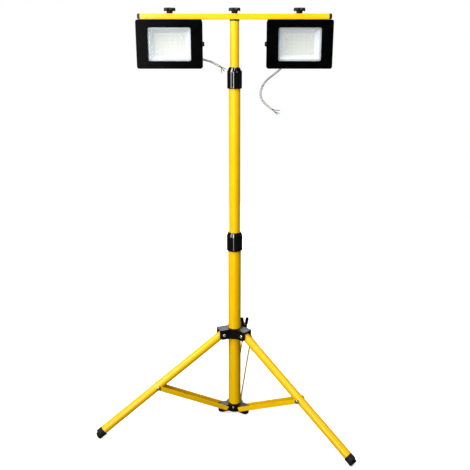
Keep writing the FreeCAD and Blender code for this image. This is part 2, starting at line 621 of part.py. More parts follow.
# Three cores stand straight out of each cord's cut end, then fan out through these points.
CORE_ORBIT = 1.4           # from the cord's middle
CORE_STRAIGHT = 5.0
CORE_FANS = {
    "left": [[(140, 25, -65), (148, 22, -68)],
             [(139.5, 23, -66.5), (144, 16.5, -71.5)],
             [(137.5, 25, -67.5), (138.5, 21, -75)]],
    "right": [[(-57, 45, -184.5), (-46, 43, -184)],
              [(-58, 47, -188), (-51, 50, -194)],
              [(-56.5, 43.5, -187), (-46, 40, -190)]],
}


def routed_tube(points, radius):
    """A tube of straight runs joined by tangent arcs, and its length."""
    edges = []
    length = 0.0
    start = points[0]
    for before, corner, after in zip(points, points[1:], points[2:]):
        to_corner = (corner - before).normalize()
        from_corner = (after - corner).normalize()
        half_turn = to_corner.getAngle(from_corner) / 2
        reach = 0.45 * min((corner - before).Length, (after - corner).Length)
        bend = reach / math.tan(half_turn)
        inward = (from_corner - to_corner).normalize()
        arc_in = corner - to_corner * reach
        arc_out = corner + from_corner * reach
        middle = corner + inward * (bend / math.cos(half_turn) - bend)
        edges.append(Part.LineSegment(start, arc_in).toShape())
        edges.append(Part.Arc(arc_in, middle, arc_out).toShape())
        length += (arc_in - start).Length + bend * 2 * half_turn
        print("   bend radius %.1f" % bend)
        start = arc_out
    edges.append(Part.LineSegment(start, points[-1]).toShape())
    length += (points[-1] - start).Length
    path = Part.Wire(edges)
    first = (points[1] - points[0]).normalize()
    section = Part.Wire(Part.Circle(points[0], first, radius).toShape())
    tube = path.makePipeShell([section], True, True)
    print("   tube %.1f long, volume / (section x length) = %.4f"
          % (length, tube.Volume / (math.pi * radius ** 2 * length)))
    return tube


def cord(side):
    print("cord", side)
    return routed_tube([V(*point) for point in CORD_ROUTES[side]], CORD_R)


def cores(side):
    """The cord's three cores, side by side where they leave its cut end."""
    print("cores", side)
    before, end = (V(*point) for point in CORD_ROUTES[side][-2:])
    along = (end - before).normalize()
    across = along.cross(Z_AXIS).normalize()
    rise = across.cross(along)
    tubes = []
    for n, fan in enumerate(CORE_FANS[side]):
        angle = math.radians(90 + 120 * n)
        offset = (across * math.cos(angle) + rise * math.sin(angle)) * CORE_ORBIT
        straight = [end + along * PIN_GAP, end + along * CORE_STRAIGHT]
        tubes.append(routed_tube([p + offset for p in straight + [V(*point) for point in fan]], CORE_R))
    return group(tubes)


def lamp(side):
    centre_x = -LAMP_X if side == "left" else LAMP_X
    shapes = {
        "lamp_bracket_": bracket(), "lamp_housing_": housing(), "lamp_front_frame_": front_frame(),
        "lamp_gasket_": gasket(), "lamp_glass_": glass(), "lamp_reflector_": reflector(),
        "led_board_": led_board(), "lamp_driver_": driver(), "driver_cover_": driver_cover(),
        "cable_gland_": gland(), "tilt_bolts_": tilt_bolts(), "lamp_cord_": cord(side),
        "cord_cores_": cores(side),
    }
    for shape in shapes.values():
        shape.translate(V(centre_x, 0, LAMP_Z))
    return {node + side: shape for node, shape in shapes.items()}


# ---------------------------------------------------------------- assembly
def main():
    parts = {}
    parts.update(mast())
    parts.update(tripod())
    parts.update(bar_and_knobs())
    for side in ("left", "right"):
        parts.update(lamp(side))

    loose = ("lamp_cord_", "cord_cores_")
    whole = FreeCAD.BoundBox()
    for node, shape in parts.items():
        if not node.startswith(loose):
            whole.add(shape.optimalBoundingBox(False))
    origin = V(-whole.Center.x, -whole.Center.y, 0)

    os.makedirs("parts", exist_ok=True)
    for node, shape in parts.items():
        shape.translate(origin)
        shape.exportStep("parts/%s.step" % node)
    print("nodes", len(parts))
    print("mast axis at", origin)
    print("size", whole)
    print("strut slope %.3f, folded %.3f, length %.2f" % (STRUT_SLOPE, FOLDED_STRUT, STRUT_LENGTH))
    print("hub travel %.2f" % HUB_TRAVEL)
    for side in LEG_AZIMUTHS:
        sole = min(parts["foot_cap_" + side].Faces, key=lambda face: face.BoundBox.ZMax)
        print("foot", side, sole.CenterOfMass, "area %.0f" % sole.Area)
    for node, shape in parts.items():
        if not shape.isValid():
            print("not valid:", node)


main()
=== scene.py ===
"""Looks of a twin LED floodlight on a telescopic tripod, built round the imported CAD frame."""
import json
import math

import bmesh
import bpy
from mathutils import Matrix, Vector


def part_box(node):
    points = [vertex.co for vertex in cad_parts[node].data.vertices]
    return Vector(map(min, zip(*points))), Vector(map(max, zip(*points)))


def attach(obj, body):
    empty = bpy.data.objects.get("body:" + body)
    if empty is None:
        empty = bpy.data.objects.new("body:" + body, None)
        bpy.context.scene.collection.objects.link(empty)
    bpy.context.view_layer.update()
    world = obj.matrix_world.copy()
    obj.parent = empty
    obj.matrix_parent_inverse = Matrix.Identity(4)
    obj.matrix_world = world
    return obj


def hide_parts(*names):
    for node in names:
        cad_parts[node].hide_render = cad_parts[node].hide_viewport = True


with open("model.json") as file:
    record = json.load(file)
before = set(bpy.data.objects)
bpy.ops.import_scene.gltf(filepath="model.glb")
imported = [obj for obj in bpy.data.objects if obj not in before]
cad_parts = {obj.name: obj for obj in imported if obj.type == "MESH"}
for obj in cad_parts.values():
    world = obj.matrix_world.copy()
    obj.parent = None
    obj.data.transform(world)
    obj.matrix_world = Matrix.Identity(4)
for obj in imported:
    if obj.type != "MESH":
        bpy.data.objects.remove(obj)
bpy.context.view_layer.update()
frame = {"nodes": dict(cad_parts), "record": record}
scene = bpy.context.scene
nodes = frame["nodes"]

MM = 0.001
UP = Vector((0, 0, 1))
SIDES = ("left", "right")
LEG_AZIMUTHS = {"left": 200.0, "right": -40.0, "back": 80.0}


def middle(node):
    """The middle of a CAD node's box."""
    low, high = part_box(node)
    return (low + high) / 2


mast = middle("lower_tube")
MAST = Vector((mast.x, mast.y, 0))
# Where each lamp tilts: under its stud, at mid height of its frame.
LAMP_AXIS = {side: Vector((middle("lamp_bracket_" + side).x, MAST.y, middle("lamp_front_frame_" + side).z))
             for side in SIDES}

# ------------------------------------------------------------------ camera
IMAGE_SIDE = 470
FOCAL_PIXELS = 651.5
CAMERA_PLACE = (1.2, -1840.0, 1182.3)     # from the mast's foot, in millimetres
CAMERA_DOWN = 17.69                       # degrees below level
camera_data = bpy.data.cameras.new("camera")
camera_data.sensor_width = 36.0
camera_data.lens = camera_data.sensor_width * FOCAL_PIXELS / IMAGE_SIDE
camera = bpy.data.objects.new("camera", camera_data)
scene.collection.objects.link(camera)
camera.location = MAST + Vector(CAMERA_PLACE) * MM
camera.rotation_euler = (math.radians(90 - CAMERA_DOWN), 0, 0)
scene.camera = camera


# ------------------------------------------------------------------ materials
class Finish:
    """A Principled material whose colour, roughness and relief come from noise in object space."""

    def __init__(self, name, **sockets):
        self.material = bpy.data.materials.new(name)
        self.material.use_nodes = True
        self.tree = self.material.node_tree
        self.tree.nodes.clear()
        output = self.tree.nodes.new("ShaderNodeOutputMaterial")
        self.shader = self.tree.nodes.new("ShaderNodeBsdfPrincipled")
        self.link(self.shader, 0, output, 0)
        self.place = self.tree.nodes.new("ShaderNodeTexCoord")
        self.normal = None
        for socket, value in sockets.items():
            self.shader.inputs[socket.replace("_", " ")].default_value = value

    def link(self, source, output, target, socket):
        self.tree.links.new(source.outputs[output], target.inputs[socket])

    def noise(self, scale, detail=3.0, stretch=(1, 1, 1), roughness=0.55):
        mapping = self.tree.nodes.new("ShaderNodeMapping")
        mapping.inputs["Scale"].default_value = stretch
        self.link(self.place, "Object", mapping, 0)
        noise = self.tree.nodes.new("ShaderNodeTexNoise")
        noise.inputs["Scale"].default_value = scale
        noise.inputs["Detail"].default_value = detail
        noise.inputs["Roughness"].default_value = roughness
        self.link(mapping, 0, noise, "Vector")
        return noise, "Fac"

    def cells(self, scale, feature="F1"):
        cells = self.tree.nodes.new("ShaderNodeTexVoronoi")
        cells.feature = feature
        cells.inputs["Scale"].default_value = scale
        self.link(self.place, "Object", cells, "Vector")
        return cells, "Distance"

    def remap(self, source, low, high, to_low, to_high):
        remap = self.tree.nodes.new("ShaderNodeMapRange")
        limits = {"From Min": low, "From Max": high, "To Min": to_low, "To Max": to_high}
        for socket, value in limits.items():
            remap.inputs[socket].default_value = value
        self.link(*source, remap, "Value")
        return remap, "Result"

    def colours(self, source, *stops):
        ramp = self.tree.nodes.new("ShaderNodeValToRGB")
        while len(ramp.color_ramp.elements) < len(stops):
            ramp.color_ramp.elements.new(0.5)
        for element, (position, colour) in zip(ramp.color_ramp.elements, stops):
            element.position = position
            element.color = (*colour, 1)
        self.link(*source, ramp, "Fac")
        self.link(ramp, 0, self.shader, "Base Color")
        return self

    def over(self, source, colour):
        """Lays a second colour over the base colour where the source is high."""
        under = self.shader.inputs["Base Color"].links[0].from_socket
        mix = self.tree.nodes.new("ShaderNodeMix")
        mix.data_type = "RGBA"
        mix.inputs["B"].default_value = (*colour, 1)
        self.tree.links.new(under, mix.inputs["A"])
        self.link(*source, mix, "Factor")
        self.link(mix, "Result", self.shader, "Base Color")
        return self

    def rough(self, source, low, high):
        self.link(*self.remap(source, 0.3, 0.7, low, high), self.shader, "Roughness")
        return self

    def relief(self, source, distance, strength=1.0):
        bump = self.tree.nodes.new("ShaderNodeBump")
        bump.inputs["Distance"].default_value = distance
        bump.inputs["Strength"].default_value = strength
        self.link(*source, bump, "Height")
        if self.normal:
            self.link(self.normal, 0, bump, "Normal")
        self.normal = bump
        self.link(bump, 0, self.shader, "Normal")
        return self


def yellow_coat():
    """Glossy yellow powder coat with a faint orange peel, rub marks and a few specks of dust."""
    coat = Finish("yellow_powder_coat", Coat_Weight=0.16, Coat_Roughness=0.10, Coat_IOR=1.5,
                  Specular_IOR_Level=0.2)
    coat.colours(coat.noise(9, 4), (0.32, (0.885, 0.495, 0.0005)), (0.68, (0.930, 0.545, 0.0008)))
    specks = coat.remap(coat.noise(1400, 2), 0.70, 0.78, 0.0, 0.25)
    coat.over(specks, (0.55, 0.33, 0.03))
    rubs = coat.noise(60, 5, (1.0, 1.0, 0.05))
    coat.rough(rubs, 0.24, 0.40)
    coat.relief(coat.noise(420, 2), 0.00012, 0.35)
    return coat.relief(coat.noise(2600, 2), 0.00002, 0.4).material


def black_gloss():
    """Moulded nylon with a high gloss, fine flow marks and hair scratches."""
    gloss = Finish("black_gloss_plastic", Specular_IOR_Level=1.0)
    gloss.colours(gloss.noise(45, 3), (0.3, (0.0010, 0.0010, 0.0012)), (0.7, (0.0026, 0.0026, 0.003)))
    gloss.rough(gloss.noise(90, 5, (1, 1, 0.08)), 0.05, 0.10)
    return gloss.relief(gloss.noise(900, 3, (1, 1, 0.1)), 0.00001, 0.25).material


def black_moulding():
    """Satin glass-filled plastic with a spark-eroded grain."""
    satin = Finish("black_plastic", Specular_IOR_Level=0.3)
    satin.colours(satin.noise(60, 4), (0.3, (0.0016, 0.0016, 0.0018)), (0.7, (0.0045, 0.0045, 0.0048)))
    satin.rough(satin.noise(130, 4), 0.24, 0.36)
    satin.relief(satin.cells(2300), 0.00004, 0.35)
    return satin.relief(satin.noise(300, 3), 0.00005, 0.3).material


def rubber():
    mat = Finish("black_rubber", Specular_IOR_Level=0.3)
    mat.colours(mat.noise(80, 5), (0.3, (0.003, 0.003, 0.0033)), (0.72, (0.010, 0.0095, 0.009)))
    mat.rough(mat.noise(240, 4), 0.55, 0.78)
    return mat.relief(mat.noise(1100, 4), 0.00007, 0.5).material


def nylon():
    mat = Finish("guide_plastic", Subsurface_Weight=0.05)
    mat.colours(mat.noise(70, 3), (0.3, (0.56, 0.55, 0.50)), (0.7, (0.66, 0.65, 0.60)))
    mat.rough(mat.noise(200, 3), 0.38, 0.5)
    return mat.relief(mat.noise(700, 3), 0.00004, 0.3).material


def zinc():
    """Bright zinc plate: small spangles, a turned lay and a few dull spots."""
    mat = Finish("zinc_steel", Metallic=1.0)
    mat.colours(mat.cells(900), (0.0, (0.62, 0.63, 0.65)), (0.5, (0.80, 0.80, 0.80)),
                (1.0, (0.70, 0.69, 0.66)))
    mat.rough(mat.noise(380, 4), 0.20, 0.38)
    return mat.relief(mat.noise(1700, 3, (0.2, 1, 1)), 0.00003, 0.4).material


def black_coat():
    """Fine-textured black powder coat on sheet steel."""
    mat = Finish("black_powder_coat", Specular_IOR_Level=0.3)
    mat.colours(mat.noise(50, 4), (0.3, (0.0016, 0.0016, 0.002)), (0.7, (0.0045, 0.0045, 0.0048)))
    mat.rough(mat.noise(150, 3), 0.28, 0.40)
    return mat.relief(mat.noise(1500, 3), 0.00006, 0.5).material


def black_casting():
    """Powder coat over a die casting: a soft texture with shallow flow ripples."""
    mat = Finish("black_cast_aluminium", Specular_IOR_Level=0.015)
    mat.colours(mat.noise(35, 5), (0.3, (0.0004, 0.0004, 0.0005)), (0.7, (0.0014, 0.0014, 0.0016)))
    mat.rough(mat.noise(110, 4), 0.18, 0.26)
    mat.relief(mat.noise(170, 3), 0.00004, 0.15)
    return mat.relief(mat.noise(1300, 3), 0.00002, 0.25).material


def clear_glass():
    mat = Finish("lamp_glass", Alpha=0.10, IOR=1.5, Specular_IOR_Level=0.3)
    mat.colours(mat.noise(25, 2), (0.3, (0.80, 0.90, 0.93)), (0.7, (0.90, 0.95, 0.97)))
    mat.rough(mat.noise(60, 3), 0.02, 0.06)
    return mat.relief(mat.noise(30, 2), 0.00002, 0.2).material


def bright_sheet():
    """Hammered white-silver reflector sheet."""
    mat = Finish("reflector_sheet", Metallic=0.1)
    mat.colours(mat.noise(40, 3), (0.3, (0.64, 0.67, 0.71)), (0.7, (0.69, 0.72, 0.76)))
    mat.rough(mat.noise(160, 3), 0.28, 0.42)
    return mat.relief(mat.cells(420, "SMOOTH_F1"), 0.00010, 0.35).material


def solder_mask():
    """White solder mask; wide copper areas under it stand a little proud and a shade darker."""
    mat = Finish("led_board", Coat_Weight=0.2, Coat_Roughness=0.2)
    traces = mat.cells(95)
    mat.colours(traces, (0.08, (0.52, 0.52, 0.46)), (0.16, (0.56, 0.56, 0.50)))
    mat.rough(mat.noise(500, 3), 0.30, 0.45)
    mat.relief(traces, 0.00006, 0.3)
    return mat.relief(mat.noise(2200, 2), 0.00002, 0.3).material


def potting():
    mat = Finish("driver_potting")
    mat.colours(mat.noise(60, 5), (0.3, (0.05, 0.05, 0.05)), (0.7, (0.10, 0.10, 0.095)))
    mat.rough(mat.noise(90, 4), 0.30, 0.65)
    return mat.relief(mat.noise(220, 5), 0.00025, 0.5).material


def sheath():
    """Pale grey PVC sheath with faint lay marks of the cores beneath."""
    mat = Finish("cord_sheath", Subsurface_Weight=0.04)
    mat.colours(mat.noise(30, 4), (0.3, (0.56, 0.55, 0.53)), (0.7, (0.64, 0.63, 0.61)))
    mat.rough(mat.noise(260, 4), 0.32, 0.5)
    return mat.relief(mat.noise(480, 3, (1, 1, 0.4)), 0.00008, 0.4).material


def insulation(name, colour, stripe=None):
    """PVC core insulation, striped where it has two colours."""
    mat = Finish(name, Coat_Weight=0.15)
    pale = tuple(min(1.0, c * 1.35 + 0.01) for c in colour)
    mat.colours(mat.noise(300, 3), (0.3, colour), (0.7, pale))
    if stripe:
        mat.over(mat.remap(mat.noise(160, 0, (0.2, 1, 0.2)), 0.49, 0.51, 0, 1), stripe)
    mat.rough(mat.noise(500, 2), 0.3, 0.45)
    return mat.relief(mat.noise(900, 3), 0.00003, 0.4).material


def copper():
    mat = Finish("copper_strand", Metallic=1.0)
    mat.colours(mat.noise(600, 3), (0.3, (0.72, 0.33, 0.19)), (0.7, (0.88, 0.48, 0.30)))
    mat.rough(mat.noise(900, 2), 0.22, 0.40)
    return mat.relief(mat.noise(2500, 2), 0.00002, 0.4).material


def led_white():
    mat = Finish("led_package")
    mat.colours(mat.noise(500, 2), (0.3, (0.60, 0.60, 0.54)), (0.7, (0.66, 0.66, 0.60)))
    mat.rough(mat.noise(900, 2), 0.35, 0.5)
    return mat.relief(mat.noise(3000, 2), 0.00001, 0.3).material


def phosphor():
    mat = Finish("led_phosphor", Coat_Weight=0.4, Coat_Roughness=0.1)
    mat.colours(mat.noise(700, 3), (0.3, (0.30, 0.27, 0.05)), (0.7, (0.36, 0.32, 0.08)))
    mat.rough(mat.noise(900, 2), 0.25, 0.4)
    return mat.relief(mat.noise(2600, 2), 0.00002, 0.4).material


MATERIALS = {
    "yellow_powder_coat": yellow_coat(),
    "black_gloss_plastic": black_gloss(),
    "black_plastic": black_moulding(),
    "black_rubber": rubber(),
    "guide_plastic": nylon(),
    "zinc_steel": zinc(),
    "black_powder_coat": black_coat(),
    "black_cast_aluminium": black_casting(),
    "lamp_glass": clear_glass(),
    "reflector_sheet": bright_sheet(),
    "led_board": solder_mask(),
    "driver_potting": potting(),
    "cord_sheath": sheath(),
    "core_insulation": insulation("core_brown", (0.13, 0.045, 0.016)),
}
CORE_COLOURS = [
    MATERIALS["core_insulation"],
    insulation("core_blue", (0.020, 0.10, 0.34)),
    insulation("core_earth", (0.62, 0.56, 0.03), (0.05, 0.30, 0.04)),
]
COPPER = copper()
LED_WHITE = led_white()
PHOSPHOR = phosphor()

for part in frame["record"]["subparts"]:
    mesh = nodes[part["node"]].data
    mesh.materials.clear()
    mesh.materials.append(MATERIALS[part["material_slot"]])


# ------------------------------------------------------------------ shape helpers
def aim(origin, direction):
    """A matrix that stands +Z along a direction at a point."""
    turn = Vector(direction).to_track_quat("Z", "Y").to_matrix().to_4x4()
    return Matrix.Translation(origin) @ turn


def rounded(points, radius, steps=4):
    """The open outline with each inner corner rounded."""
    result = [points[0]]
    for before, corner, after in zip(points, points[1:], points[2:]):
        before, corner, after = Vector(before), Vector(corner), Vector(after)
        into, out = (before - corner), (after - corner)
        reach = min(radius, into.length * 0.45, out.length * 0.45)
        start = corner + into.normalized() * reach
        end = corner + out.normalized() * reach
        for n in range(steps + 1):
            t = n / steps
            result.append(tuple(start * (1 - t) ** 2 + corner * 2 * t * (1 - t) + end * t ** 2))
    result.append(points[-1])
    return result


def lathe(bm, outline, matrix, segments=48, wave=None, slot=0):
    """Turns an outline of (radius, height) about the matrix's Z; wave may move each point."""
    rings = []
    for radius, height in outline:
        if radius <= 0:
            rings.append([bm.verts.new(matrix @ Vector((0, 0, height)))])
            continue
        ring = []
        for n in range(segments):
            angle = 2 * math.pi * n / segments
            r, z = wave(angle, radius, height) if wave else (radius, height)
            ring.append(bm.verts.new(matrix @ Vector((r * math.cos(angle), r * math.sin(angle), z))))
        rings.append(ring)
    for low, high in zip(rings, rings[1:]):
        for n in range(segments):
            m = (n + 1) % segments
            corners = (low[n % len(low)], low[m % len(low)], high[m % len(high)], high[n % len(high)])
            corners = list(dict.fromkeys(corners))
            if len(corners) > 2:
                bm.faces.new(corners).material_index = slot


def block(bm, low, high, matrix=Matrix.Identity(4), slot=0, bevel=0.0):
    """A box with bevelled edges."""
    made = bmesh.ops.create_cube(bm, size=1.0)["verts"]
    low, high = Vector(low), Vector(high)
    for v in made:
        v.co = (low + high) / 2 + Vector(a * b for a, b in zip(v.co, high - low))
    faces = {f for v in made for f in v.link_faces}
    if bevel:
        edges = list({e for v in made for e in v.link_edges})
        cut = bmesh.ops.bevel(bm, geom=edges, offset=bevel, segments=2, affect="EDGES")
        faces = {f for f in faces if f.is_valid} | set(cut["faces"])
    for f in faces:
        f.material_index = slot
    for v in {v for f in faces for v in f.verts}:
        v.co = matrix @ v.co


def piece(name, bm, body, materials, replaces=(), sharp=38):
    """Turns the mesh into a piece that rides on a body and takes its finish from a slot."""
    bmesh.ops.recalc_face_normals(bm, faces=bm.faces)
    mesh = bpy.data.meshes.new(name)
    bm.to_mesh(mesh)
    bm.free()
    for material in materials:
        mesh.materials.append(material)
    mesh.polygons.foreach_set("use_smooth", [True] * len(mesh.polygons))
    mesh.set_sharp_from_angle(angle=math.radians(sharp))
    obj = bpy.data.objects.new(name, mesh)
    scene.collection.objects.link(obj)
    if replaces:
        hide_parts(*replaces)
    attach(obj, body)
    return obj


def mm(outline):
    """An outline given in millimetres, in metres."""
    return [(r * MM, z * MM) for r, z in outline]


# ------------------------------------------------------------------ cords
CORD_RADIUS = 0.003
CORE_RADIUS = 0.0011
# Each route is measured from its lamp's tilt axis and starts in the gland's mouth.
CORD_ROUTES = {
    "left": [(-0.018, 0.038, -0.028), (-0.017, 0.066, -0.028), (0.002, 0.086, -0.030),
             (0.034, 0.088, -0.034), (0.064, 0.076, -0.039), (0.090, 0.060, -0.044),
             (0.114, 0.043, -0.050), (0.132, 0.030, -0.0605)],
    "right": [(-0.018, 0.038, -0.028), (-0.018, 0.064, -0.029), (-0.022, 0.084, -0.044),
              (-0.036, 0.092, -0.066), (-0.058, 0.084, -0.084), (-0.080, 0.071, -0.098),
              (-0.096, 0.060, -0.118), (-0.101, 0.054, -0.143), (-0.089, 0.049, -0.165),
              (-0.067, 0.046, -0.180)],
}
# The three cores stand straight out of the cord's cut end, then fan out through these points.
CORE_ORBIT = 0.0014
CORE_STRAIGHT = 0.005
CORE_FANS = {
    "left": [[(0.140, 0.025, -0.065), (0.148, 0.022, -0.068)],
             [(0.1395, 0.023, -0.0665), (0.144, 0.0165, -0.0715)],
             [(0.1375, 0.025, -0.0675), (0.1385, 0.021, -0.075)]],
    "right": [[(-0.057, 0.045, -0.1845), (-0.046, 0.043, -0.184)],
              [(-0.058, 0.047, -0.188), (-0.051, 0.050, -0.194)],
              [(-0.0565, 0.0435, -0.187), (-0.046, 0.040, -0.190)]],
}


def tube_curve(name, points, radius, material):
    """A round cord along a smooth curve through its control points' hull."""
    curve = bpy.data.curves.new(name, "CURVE")
    curve.dimensions = "3D"
    spline = curve.splines.new("NURBS")
    spline.points.add(len(points) - 1)
    for control, point in zip(spline.points, points):
        control.co = (*point, 1)
    spline.order_u = 3
    spline.use_endpoint_u = True
    spline.resolution_u = 12
    curve.bevel_depth = radius
    curve.bevel_resolution = 6
    curve.use_fill_caps = True
    curve.materials.append(material)
    obj = bpy.data.objects.new(name, curve)
    scene.collection.objects.link(obj)
    return obj


def strands(name, end, direction, body):
    """Seven twisted copper wires that stand out of a core's cut end."""
    bm = bmesh.new()
    frame_of_end = aim(end - direction * 0.001, direction)
    length, wire, pitch = 0.0045, 0.00019, 0.012
    for n in range(7):
        orbit = 0.0 if n == 0 else wire * 2.05
        phase = math.radians(60 * n)
        rings = []
        for step in range(7):
            t = step / 6
            angle = phase + 2 * math.pi * t * length / pitch
            flare = orbit * (1 + 0.5 * t * t)
            centre = Vector((flare * math.cos(angle), flare * math.sin(angle), t * length * (1 - 0.04 * n)))
            size = wire * (1 if step < 6 else 0.6)
            rings.append([bm.verts.new(frame_of_end @ (centre + Vector(
                (size * math.cos(math.radians(60 * k)), size * math.sin(math.radians(60 * k)), 0))))
                for k in range(6)])
        for low, high in zip(rings, rings[1:]):
            for k in range(6):
                m = (k + 1) % 6
                bm.faces.new((low[k], low[m], high[m], high[k]))
        bm.faces.new(rings[0][::-1])
        bm.faces.new(rings[-1])
    return piece(name, bm, body, [COPPER], sharp=60)


for side in SIDES:
    axis = LAMP_AXIS[side]
    body = side + "_lamp"
    route = [axis + Vector(p) for p in CORD_ROUTES[side]]
    along = (route[-1] - route[-2]).normalized()
    across = along.cross(UP).normalized()
    rise = across.cross(along)
    on_cord = []
    for n, fan in enumerate(CORE_FANS[side]):
        angle = math.radians(90 + 120 * n)
        offset = (across * math.cos(angle) + rise * math.sin(angle)) * CORE_ORBIT
        straight = [route[-1] - along * 0.001, route[-1] + along * CORE_STRAIGHT]
        points = [p + offset for p in straight + [axis + Vector(q) for q in fan]]
        core = tube_curve(f"cord_core_{n + 1}_{side}", points, CORE_RADIUS, CORE_COLOURS[n])
        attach(core, body)
        outward = (points[-1] - points[-2]).normalized()
        tip = strands(f"core_strands_{n + 1}_{side}", points[-1], outward, body)
        on_cord += [core, tip]
    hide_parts("cord_cores_" + side)
    flex = tube_curve("cord_" + side, route, CORD_RADIUS, MATERIALS["cord_sheath"])
    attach(flex, body)
    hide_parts("lamp_cord_" + side)


# ------------------------------------------------------------------ cable glands
GLAND_LENGTH = 0.021       # from the driver cover to the seal's mouth


def ribs(count, depth, low, high, sharpness=1.0):
    """A wave that cuts grooves into a turned shape between two heights."""
    def wave(angle, radius, height):
        if not low <= height <= high:
            return radius, height
        groove = 0.5 - 0.5 * math.cos(count * angle)
        return radius - depth * groove ** sharpness, height
    return wave


for side in SIDES:
    low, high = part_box("cable_gland_" + side)
    mouth = Vector(((low.x + high.x) / 2, high.y, (low.z + high.z) / 2))
    bm = bmesh.new()
    stand = aim(mouth - Vector((0, GLAND_LENGTH, 0)), (0, 1, 0))
    base = mm([(5.9, -5.5), (5.9, 0.0), (8.2, 0.0), (8.9, 0.6), (8.9, 3.6), (8.2, 4.2), (6.5, 4.2)])
    lathe(bm, base, stand, segments=6)
    nut = rounded(mm([(6.4, 4.4), (8.2, 4.4), (8.2, 13.0), (6.4, 18.0), (4.6, 19.0)]), 0.0012)
    lathe(bm, nut, stand, segments=96, wave=ribs(16, 0.0006, 0.0052, 0.0125, 0.7))
    seal = rounded(mm([(4.9, 18.6), (4.5, 20.2), (3.9, 21.0), (3.03, 21.0), (3.03, 12.0)]), 0.0004)
    lathe(bm, seal, stand, slot=1)
    piece("cable_gland_detail_" + side, bm, side + "_lamp",
          [MATERIALS["black_plastic"], MATERIALS["black_rubber"]], ["cable_gland_" + side])


# ------------------------------------------------------------------ twist-lock sleeves
LOCK_CONE = 0.012          # height of the plain cone on top
LOCK_FLUTES = 15
FLUTE_DEPTH = 0.0002


def lock_sleeve(name, body, top_mouth):
    """Gloss sleeve: gentle flutes all round, a plain cone on top and a turned-in foot."""
    low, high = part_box(name)
    outer = (high.x - low.x) / 2
    height = high.z - low.z
    base = Vector((MAST.x, MAST.y, low.z))
    outline = [(outer - 0.0050, 0.0030), (outer - 0.0032, 0.0), (outer - 0.0010, 0.0), (outer, 0.0016),
               (outer, 0.006), (outer, height - LOCK_CONE - 0.004), (outer, height - LOCK_CONE),
               (top_mouth + 0.0016, height), (top_mouth, height), (top_mouth, height - 0.004)]
    outline = rounded(outline, 0.0011)
    dense = []
    for (r1, z1), (r2, z2) in zip(outline, outline[1:]):
        steps = max(1, int(abs(z2 - z1) / 0.002))
        dense += [(r1 + (r2 - r1) * n / steps, z1 + (z2 - z1) * n / steps) for n in range(steps)]
    dense.append(outline[-1])

    def wave(angle, radius, z):
        foot_fade = min(1.0, max(0.0, (z - 0.003) / 0.004))
        cone_fade = min(1.0, max(0.0, (height - LOCK_CONE - z) / 0.005))
        groove = 0.5 - 0.5 * math.cos(LOCK_FLUTES * angle)
        return radius - FLUTE_DEPTH * foot_fade * cone_fade * groove, z
    bm = bmesh.new()
    lathe(bm, dense, Matrix.Translation(base), segments=180, wave=wave)
    piece(name + "_detail", bm, body, [MATERIALS["black_gloss_plastic"]], [name],
          sharp=50)


lock_sleeve("lower_lock_nut", "lower_lock", 0.0166)
lock_sleeve("upper_lock_nut", "upper_lock", 0.0131)


# ------------------------------------------------------------------ star knobs
def star_knob(name):
    """Narrow foot under a cap with six lobes that hang down like fingers."""
    low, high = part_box("knob_" + name)
    base = Vector(((low.x + high.x) / 2, MAST.y, low.z))
    top = (high.z - low.z) / MM
    tip, valley, root = 15.6, 11.6, 8.6

    def lobed(angle, radius, z):
        """Radii beyond the root stretch out into the lobes, and the lobes' undersides hang."""
        lobe = 1 - abs(math.sin(3 * angle)) ** 3
        share = max(0.0, min(1.0, (radius / MM - root) / (valley - root)))
        r = radius + (tip - valley) * MM * lobe * share
        if z < 0.009 and share > 0.2:
            z -= 0.0026 * lobe * share
        return r, z
    outline = [(4.1, 0.0), (7.4, 0.0), (8.0, 0.5), (8.3, 3.2), (8.5, 6.2), (8.9, 7.0), (10.4, 6.9),
               (11.2, 7.3), (11.6, 8.2), (11.6, 10.5), (11.6, 12.6), (11.2, 13.8), (10.2, top - 0.15),
               (8.4, top),
               (6.2, top), (5.8, top - 0.7), (5.0, top - 0.9), (0, top - 0.9)]
    bm = bmesh.new()
    lathe(bm, mm(outline), Matrix.Translation(base), segments=120, wave=lobed)
    piece("knob_" + name + "_detail", bm, name + "_knob", [MATERIALS["black_plastic"]],
          ["knob_" + name], sharp=55)


for name in ("left", "middle", "right"):
    star_knob(name)


# ------------------------------------------------------------------ crossbar end plugs
# How far along the cap each ring stands, and how far it draws in, as shares of length and half width.
CAP_DOME = ((0, 0), (0.3, 0), (0.55, 0.03), (0.75, 0.10), (0.90, 0.22), (0.98, 0.40), (1, 0.60))
CORNER_STEPS = 7           # vertices of each rounded corner


def domed_plug(bm, stand, half, length):
    """A square cap with rounded corners that domes in towards its outer face."""
    rings = []
    around = 4 * CORNER_STEPS
    for share, inset in CAP_DOME:
        reach = half * (1 - inset)
        corner = reach * (0.28 + 0.5 * inset)
        ring = []
        for step in range(around):
            quarter = step // CORNER_STEPS
            angle = math.radians(90 * quarter + 90 / (CORNER_STEPS - 1) * (step % CORNER_STEPS))
            x = (1 if quarter in (0, 3) else -1) * (reach - corner) + corner * math.cos(angle)
            y = (1 if quarter in (0, 1) else -1) * (reach - corner) + corner * math.sin(angle)
            ring.append(bm.verts.new(stand @ Vector((x, y, length * share))))
        rings.append(ring)
    for inner, outer in zip(rings, rings[1:]):
        for n in range(around):
            m = (n + 1) % around
            bm.faces.new((inner[n], inner[m], outer[m], outer[n]))
    bm.faces.new(rings[0][::-1])
    bm.faces.new(rings[-1])


